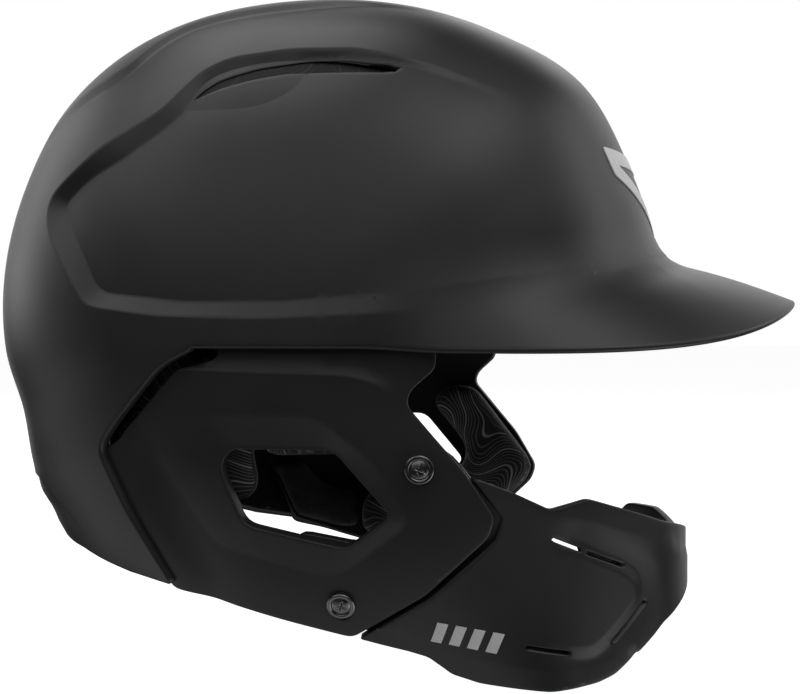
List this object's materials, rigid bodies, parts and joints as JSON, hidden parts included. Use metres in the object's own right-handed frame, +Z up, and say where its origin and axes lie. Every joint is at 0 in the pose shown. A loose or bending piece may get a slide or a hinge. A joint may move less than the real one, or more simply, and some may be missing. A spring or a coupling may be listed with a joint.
{
  "type": "batting helmet",
  "caption": "Baseball batting helmet with a bill, vented side panels, separate ear flaps with ear holes, a screwed-on jaw guard, foam liner and fabric comfort pads.",
  "frame": {"origin": "centre of the wearer's head, on the plane of symmetry and level with the lower side edge of the outer shell", "axes": "+X forward to the bill, +Y to the wearer's left, +Z up"},
  "size_m": [0.2813, 0.204, 0.2304],
  "materials": {
    "shell_plastic": "satin",
    "flap_plastic": "satin",
    "guard_plastic": "satin",
    "black_steel": "gloss",
    "zinc_steel": "satin",
    "liner_foam": "matte",
    "pad_fabric": "matte",
    "ear_foam": "matte",
    "hook_nylon": "matte",
    "mark_grey": "satin"
  },
  "bodies": {
    "root": {"outer_shell": "shell_plastic", "ear_flap_right": "flap_plastic", "ear_flap_left": "flap_plastic", "jaw_guard": "guard_plastic", "flap_screws_right": "black_steel", "flap_screws_left": "black_steel", "guard_screws": "black_steel", "guard_cup_washers": "black_steel", "guard_tee_nuts": "zinc_steel", "liner_front": "liner_foam", "liner_rear": "liner_foam", "liner_crown": "liner_foam", "liner_right": "liner_foam", "liner_left": "liner_foam", "brow_pad": "pad_fabric", "crown_pad": "pad_fabric", "temple_pad_right": "pad_fabric", "temple_pad_left": "pad_fabric", "rear_pad": "pad_fabric", "cheek_pad_right": "pad_fabric", "cheek_pad_left": "pad_fabric", "rear_ear_pad_right": "pad_fabric", "rear_ear_pad_left": "pad_fabric", "ear_foam_right": "ear_foam", "ear_foam_left": "ear_foam", "pad_hook_discs": "hook_nylon", "front_emblem": "mark_grey", "guard_decal": "mark_grey"}
  },
  "joints": []
}
